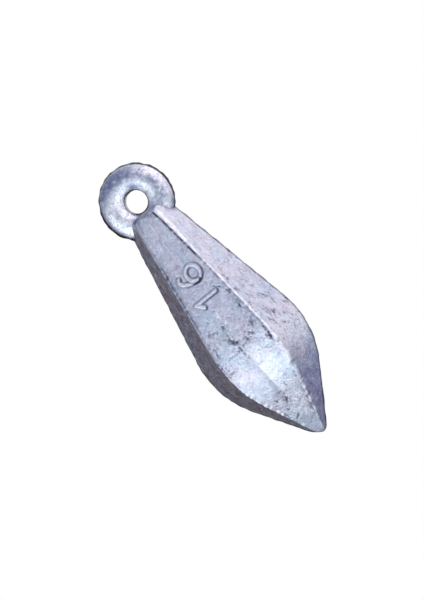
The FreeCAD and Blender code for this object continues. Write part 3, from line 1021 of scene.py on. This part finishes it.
# height over the plain facets, dirt and painted shade, and rubbed brightness and painted highlights of
# every point of the grid
def markBody(grid, facetOf, ridgeOf):
    depth = -grid[..., 2]
    height, dirt, rubbed = (np.zeros(depth.shape) for _ in range(3))
    draws = np.random.default_rng(bobMarks["seed"])
    for number in range(6):
        facet = startFacet(grid, facetOf, number)
        pressDents(facet, draws)
        foldSkin(facet)
        streakNeck(facet)
        wrinkleSkin(facet)
        if number in (front, back):
            drawMiddleLine(facet)
            dirtyRidges(facet)
        if number == rightFront:
            paintRightFacetLight(facet)
        if number == front:
            wearAndLightFrontFacet(facet)
            raiseFigures(facet)
        for high, seed, size in bobMarks["waves"]:
            facet.rise += high * ripple(facet.aside, facet.depth, seed + number, size)
        height[facet.cells] = facet.rise
        dirt[facet.cells] = facet.grimeAndShade
        rubbed[facet.cells] = facet.shineAndHighlight
    bob = SimpleNamespace(grid=grid, facetOf=facetOf, ridgeOf=ridgeOf, depth=depth,
                          height=height, dirt=dirt, rubbed=rubbed)
    markRidges(bob, draws)
    dirtyEnds(bob)
    return bob.height, np.clip(bob.dirt, 0, 1), np.clip(bob.rubbed, 0, 1)


# outward normals of a grid whose rows go down and whose columns go round anticlockwise from above
def gridNormals(grid):
    down = np.gradient(grid, axis=0)
    around = (np.roll(grid, -1, axis=1) - np.roll(grid, 1, axis=1)) / 2
    normal = np.cross(down, around)
    return normal / np.maximum(np.linalg.norm(normal, axis=2, keepdims=True), 1e-9)


# the point is worn to a slanted flat, with a soft edge
def wearPoint(grid):
    s = bobShape
    wear = np.array(s["wornTowards"]) / np.linalg.norm(s["wornTowards"])
    past = grid @ wear - ((grid @ wear).max() - s["wornOff"])
    past = np.log1p(np.exp(np.clip(past / s["wornSoft"], -30, 30))) * s["wornSoft"]
    return grid - s["wornFlat"] * past[..., None] * wear


# the ring's seat is cut from the neck, and each point of the result takes the nearest old one's marks
def cutSeat(body, points, marks):
    grid = ringGrid(ringShape["seatGap"])
    cutter = meshObject("seatCutter", grid.reshape(-1, 3), ringFaces(*grid.shape[:2]), castLead)
    cut = body.modifiers.new("seat", "BOOLEAN")
    cut.operation = "DIFFERENCE"
    cut.solver = "EXACT"
    cut.object = cutter
    view = bpy.context.evaluated_depsgraph_get()
    mesh = bpy.data.meshes.new_from_object(body.evaluated_get(view))
    body.modifiers.clear()
    body.data = mesh
    bpy.data.objects.remove(cutter)
    tree = KDTree(len(points))
    for index, point in enumerate(points):
        tree.insert(point, index)
    tree.balance()
    nearest = [tree.find(vertex.co / mm)[1] for vertex in mesh.vertices]
    for field, values in marks.items():
        old = mesh.attributes.get(field)
        if old:
            mesh.attributes.remove(old)
        layer = mesh.attributes.new(field, "FLOAT", "POINT")
        layer.data.foreach_set("value", values[nearest].astype(np.float32))
    mesh.update()


def makeBobBody():
    depths, halfWidths = flank()
    flat, facetOf, ridgeOf = hexagon(depths, halfWidths)
    grid = np.concatenate([flat, np.broadcast_to(-depths[:, None, None], flat.shape[:2] + (1,))], axis=2)
    grid = closeNeck(grid, depths)
    height, dirt, rubbed = markBody(grid, facetOf, ridgeOf)
    grid = wearPoint(grid + gridNormals(grid) * height[..., None])
    # one point closes the neck's end, and another the tip
    rows, columns = grid.shape[:2]
    points = np.concatenate([grid.reshape(-1, 3), grid[:1].mean(axis=1), grid[-1:].mean(axis=1)])
    faces = tubeFaces(rows, columns)
    topPoint, lastPoint, lastRow = rows * columns, rows * columns + 1, (rows - 1) * columns
    for column in range(columns):
        nextColumn = (column + 1) % columns
        faces.append((topPoint, column, nextColumn))
        faces.append((lastPoint, lastRow + nextColumn, lastRow + column))
    # dirt with painted shade, and rubbed places with painted highlights
    marks = {"dirt": np.append(dirt.ravel(), [0, 0]), "rubbed": np.append(rubbed.ravel(), [0, 0])}
    body = meshObject("bobBody", points, faces, castLead, marks)
    cutSeat(body, points, marks)
    return body


bobBody = makeBobBody()
print("bob body made,", len(bobBody.data.polygons), "faces")

for piece, node, slot in ((bobBody, "bob_body", "cast_lead"), (eyeRing, "eye_ring", "galvanised_ring")):
    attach(piece, "root")
    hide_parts(node)


# A plain studio: a pale floor far below, soft lamps, and dark and tinted cards for the metal to mirror.
studio = {
    "centre": (0, 0, -45.0),
    # lamp: turn from the front, lift, distance, width, height, watts, colour
    "lamps": {
        "keyLamp": (73, 21, 620, 1330, 780, 2.42, "#ffdfe2"),
        "noseLamp": (-2, -32, 440, 380, 260, 0.55, "#fafeff"),
        "ringLamp": (-44, -11, 440, 150, 200, 0.35, "#f6fbff"),
    },
    # card: turn, lift, distance, width, height, colour
    "cards": {
        "leftCard": (-134, -8, 420, 705, 760, "#4c2226"),
        "noseCard": (132, -44, 420, 400, 340, "#8686b8"),
        "topCard": (-30, 62, 480, 760, 700, "#dce4ff"),
    },
    # the paper floor: how far down, half its size, and how white it looks from under the bob to far out
    "floor": "#f2f2f0", "floorDepth": 520.0, "floorHalf": 1800.0,
    "whiteNear": 0.45, "whiteFar": 1.0, "nearReach": 100.0, "farReach": 700.0,
    # light from all round, slightly blue
    "fill": 0.55, "fillBlue": 1.03,
}


# where a lamp or card stands, and how it is turned to face the bob
def facing(turn, lift, distance):
    turn, lift = math.radians(turn), math.radians(lift)
    out = Vector((math.sin(turn) * math.cos(lift), -math.cos(turn) * math.cos(lift), math.sin(lift)))
    return Vector(studio["centre"]) * mm + out * distance * mm, out.to_track_quat("Z", "Y")


def aimAtBob(thing, turn, lift, distance):
    thing.rotation_mode = "QUATERNION"
    thing.location, thing.rotation_quaternion = facing(turn, lift, distance)
    thing.visible_camera = False


def makeLamps():
    for name, (turn, lift, distance, width, height, watts, tint) in studio["lamps"].items():
        data = bpy.data.lights.new(name, "AREA")
        data.shape = "RECTANGLE"
        data.size = width * mm
        data.size_y = height * mm
        data.energy = watts
        data.color = colour(tint)[:3]
        lamp = bpy.data.objects.new(name, data)
        aimAtBob(lamp, turn, lift, distance)
        bpy.context.collection.objects.link(lamp)


# a flat rectangle about its own centre
def sheet(name, width, height, material):
    corner = np.array([width, height, 0]) / 2
    points = corner * [(-1, -1, 0), (1, -1, 0), (1, 1, 0), (-1, 1, 0)]
    return meshObject(name, points, [(0, 1, 2, 3)], material)


def makeCards():
    for name, (turn, lift, distance, width, height, tint) in studio["cards"].items():
        material, tree = newMaterial(name)
        shader = addNode(tree, "BsdfDiffuse", {"Color": colour(tint)})
        addNode(tree, "OutputMaterial", links={"Surface": shader.outputs["BSDF"]})
        card = sheet(name, width, height, material)
        aimAtBob(card, turn, lift, distance)


# 1 where camera, mirror and glass rays look, 0 for the rays that carry light
def seenRays(tree):
    path = addNode(tree, "LightPath")
    first = addNode(tree, "Math", operation="MAXIMUM",
                    links={0: path.outputs["Is Camera Ray"], 1: path.outputs["Is Glossy Ray"]})
    last = addNode(tree, "Math", operation="MAXIMUM",
                   links={0: first.outputs["Value"], 1: path.outputs["Is Transmission Ray"]})
    return last.outputs["Value"]


def makeFloor():
    material, tree = newMaterial("paperFloor")
    place = addNode(tree, "TexCoord").outputs["Object"]
    reach = addNode(tree, "VectorMath", links={0: place}, operation="LENGTH")
    near, far = studio["nearReach"] * mm, studio["farReach"] * mm
    white = addNode(tree, "MapRange", {"From Min": near, "From Max": far,
                                       "To Min": studio["whiteNear"], "To Max": studio["whiteFar"]},
                    {"Value": reach.outputs["Value"]}, interpolation_type="SMOOTHSTEP")
    share = addNode(tree, "Math", operation="MULTIPLY",
                    links={0: white.outputs["Result"], 1: seenRays(tree)})
    paper = addNode(tree, "BsdfDiffuse", {"Color": colour(studio["floor"])})
    glow = addNode(tree, "Emission", {"Color": (1, 1, 1, 1), "Strength": 1.0})
    mix = addNode(tree, "MixShader", links={0: share.outputs["Value"], 1: paper.outputs["BSDF"],
                                            2: glow.outputs["Emission"]})
    addNode(tree, "OutputMaterial", links={"Surface": mix.outputs["Shader"]})
    floor = sheet("floor", 2 * studio["floorHalf"], 2 * studio["floorHalf"], material)
    floor.location = (0, 0, -studio["floorDepth"] * mm)


def makeWorld():
    world = bpy.data.worlds.new("studio")
    world.use_nodes = True
    tree = world.node_tree
    tree.nodes.clear()
    fill = studio["fill"]
    light = addNode(tree, "Mix", {"A": (fill, fill, fill * studio["fillBlue"], 1), "B": (1, 1, 1, 1)},
                    {"Factor": seenRays(tree)}, data_type="RGBA")
    sky = addNode(tree, "Background", {"Strength": 1.0}, {"Color": light.outputs["Result"]})
    addNode(tree, "OutputWorld", links={"Surface": sky.outputs["Background"]})
    bpy.context.scene.world = world
    bpy.context.scene.view_settings.view_transform = "Standard"


makeLamps()
makeCards()
makeFloor()
makeWorld()
print("studio lit")
